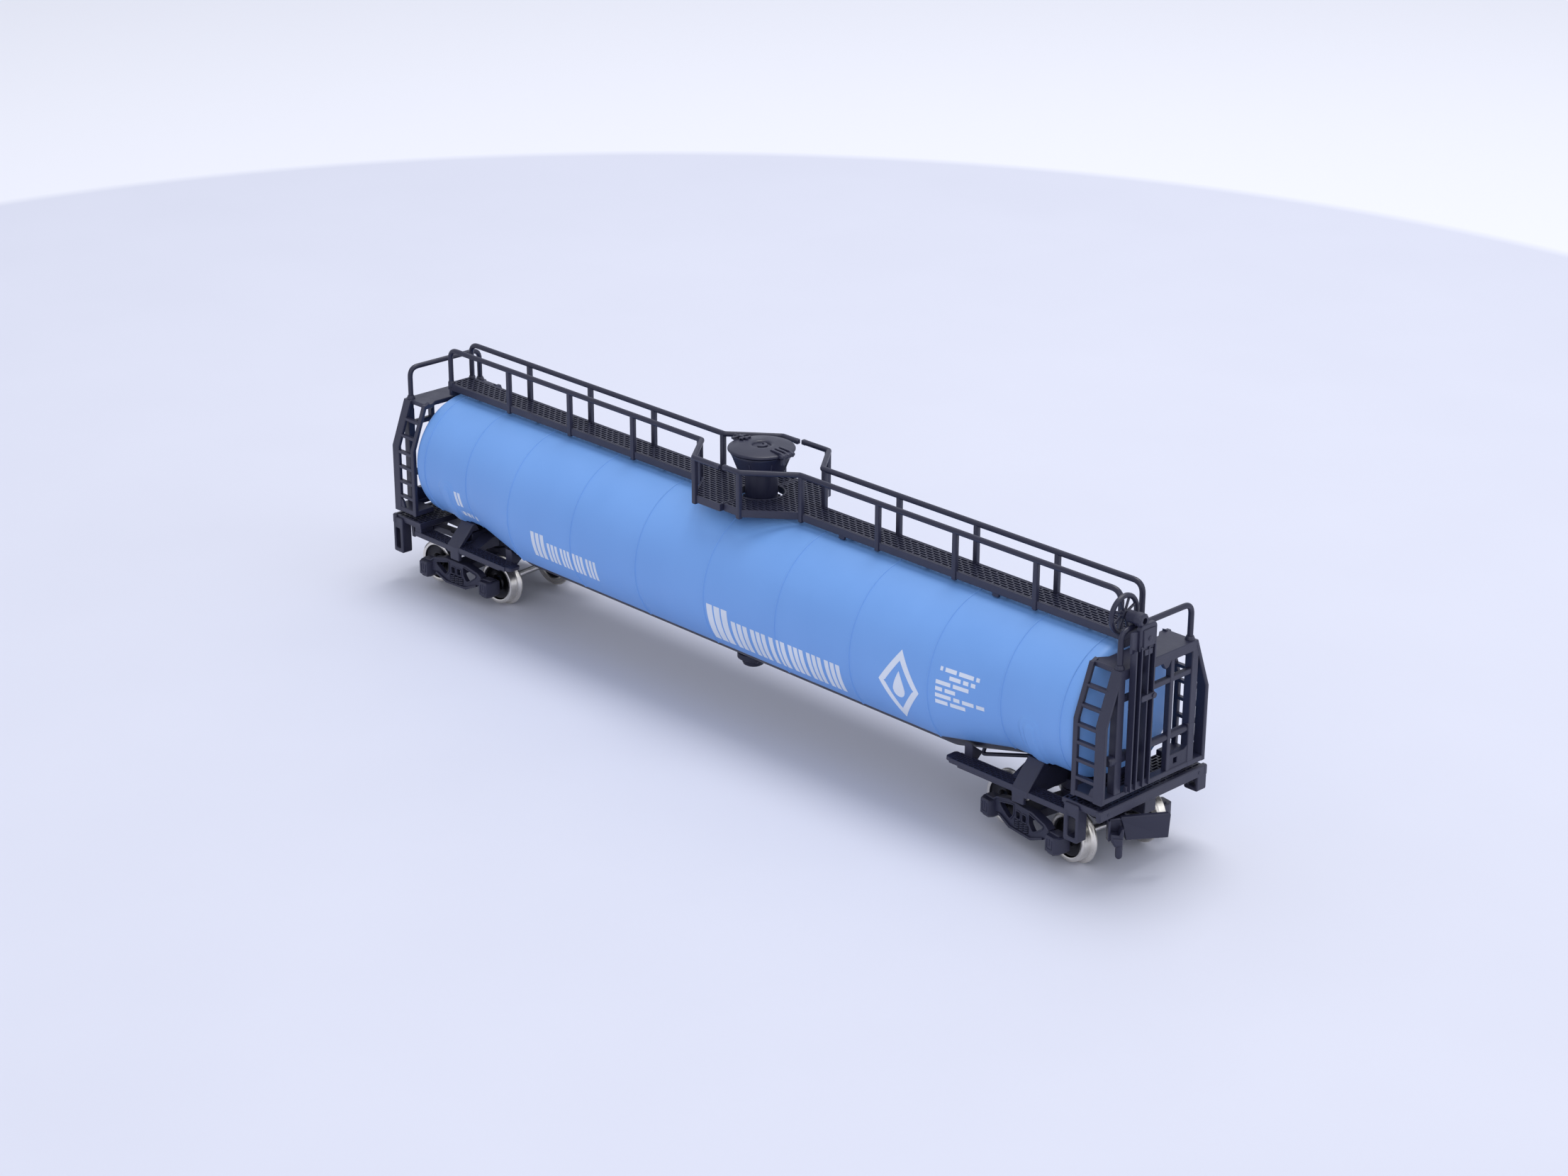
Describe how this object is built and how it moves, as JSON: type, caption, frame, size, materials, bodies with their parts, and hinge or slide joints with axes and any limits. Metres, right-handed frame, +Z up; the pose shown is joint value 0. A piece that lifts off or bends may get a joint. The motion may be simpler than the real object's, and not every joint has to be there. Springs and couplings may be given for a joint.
{
  "type": "model tank wagon",
  "caption": "HO scale bogie tank wagon with a drooping belly, roof walkway, manway dome, end ladders, hand brake and hook couplers; wheels roll and trucks swivel",
  "frame": {"origin": "on the plane the wheel flanges stand on, under the middle of the tank", "axes": "+X along the wagon towards the hand brake end, +Z up, +Y to the left when looking along +X"},
  "size_m": [0.2196, 0.0326, 0.0558],
  "materials": {
    "tank_blue": "satin moulded plastic, light blue",
    "moulded_black": "satin black moulded plastic with a faint blue cast",
    "wheel_nickel": "turned and plated metal, warm nickel",
    "steel": "plain steel",
    "printed_white": "thin off-white print on the tank"
  },
  "bodies": {
    "wagon_body": {"tank_shell": "tank_blue", "belly_pan": "moulded_black", "outlet_valve": "moulded_black", "pipe_stub_a": "moulded_black", "pipe_stub_middle": "moulded_black", "pipe_stub_b": "moulded_black", "ballast_weight": "steel", "walkway_half_a": "moulded_black", "walkway_half_b": "moulded_black", "manway_neck": "moulded_black", "manway_lid": "moulded_black", "end_frame_a": "moulded_black", "end_frame_b": "moulded_black", "end_underframe_a": "moulded_black", "end_underframe_b": "moulded_black", "brake_stand": "moulded_black", "kingpin_a": "steel", "kingpin_b": "steel"},
    "brake_wheel": {"brake_wheel": "moulded_black"},
    "truck_a": {"truck_frame_a": "moulded_black", "coupler_cover_a": "moulded_black"},
    "coupler_a": {"coupler_a": "moulded_black"},
    "wheelset_a1": {"axle_a1": "steel", "wheel_a1_left": "wheel_nickel", "wheel_a1_right": "wheel_nickel"},
    "wheelset_a2": {"axle_a2": "steel", "wheel_a2_left": "wheel_nickel", "wheel_a2_right": "wheel_nickel"},
    "truck_b": {"truck_frame_b": "moulded_black", "coupler_cover_b": "moulded_black"},
    "coupler_b": {"coupler_b": "moulded_black"},
    "wheelset_b1": {"axle_b1": "steel", "wheel_b1_left": "wheel_nickel", "wheel_b1_right": "wheel_nickel"},
    "wheelset_b2": {"axle_b2": "steel", "wheel_b2_left": "wheel_nickel", "wheel_b2_right": "wheel_nickel"}
  },
  "joints": [
    {"name": "brake_wheel_turn", "type": "hinge", "parent": "wagon_body", "child": "brake_wheel", "pos_m": [0.101, -0.0063, 0.0509], "axis": [1, 0, 0], "continuous": true},
    {"name": "truck_a_swivel", "type": "hinge", "parent": "wagon_body", "child": "truck_a", "pos_m": [-0.0863, 0, 0.0096], "axis": [0, 0, 1], "range_deg": [-14.8, 5.2]},
    {"name": "coupler_a_swing", "type": "hinge", "parent": "truck_a", "child": "coupler_a", "pos_m": [-0.09826, -0.001, 0.0084], "axis": [0, 0, 1], "range_deg": [-25.8, 13.2]},
    {"name": "wheelset_a1_roll", "type": "hinge", "parent": "truck_a", "child": "wheelset_a1", "pos_m": [-0.09592, -0.00081, 0.00557], "axis": [0.0837, -0.9965, 0], "continuous": true},
    {"name": "wheelset_a2_roll", "type": "hinge", "parent": "truck_a", "child": "wheelset_a2", "pos_m": [-0.07668, 0.00081, 0.00557], "axis": [0.0837, -0.9965, 0], "continuous": true},
    {"name": "truck_b_swivel", "type": "hinge", "parent": "wagon_body", "child": "truck_b", "pos_m": [0.0863, 0, 0.0096], "axis": [0, 0, 1], "range_deg": [-0.8, 19.2]},
    {"name": "coupler_b_swing", "type": "hinge", "parent": "truck_b", "child": "coupler_b", "pos_m": [0.09815, -0.00192, 0.0084], "axis": [0, 0, 1], "range_deg": [-2.2, 36.8]},
    {"name": "wheelset_b1_roll", "type": "hinge", "parent": "truck_b", "child": "wheelset_b1", "pos_m": [0.09583, -0.00154, 0.00557], "axis": [0.1599, 0.9871, 0], "continuous": true},
    {"name": "wheelset_b2_roll", "type": "hinge", "parent": "truck_b", "child": "wheelset_b2", "pos_m": [0.07677, 0.00154, 0.00557], "axis": [0.1599, 0.9871, 0], "continuous": true}
  ]
}
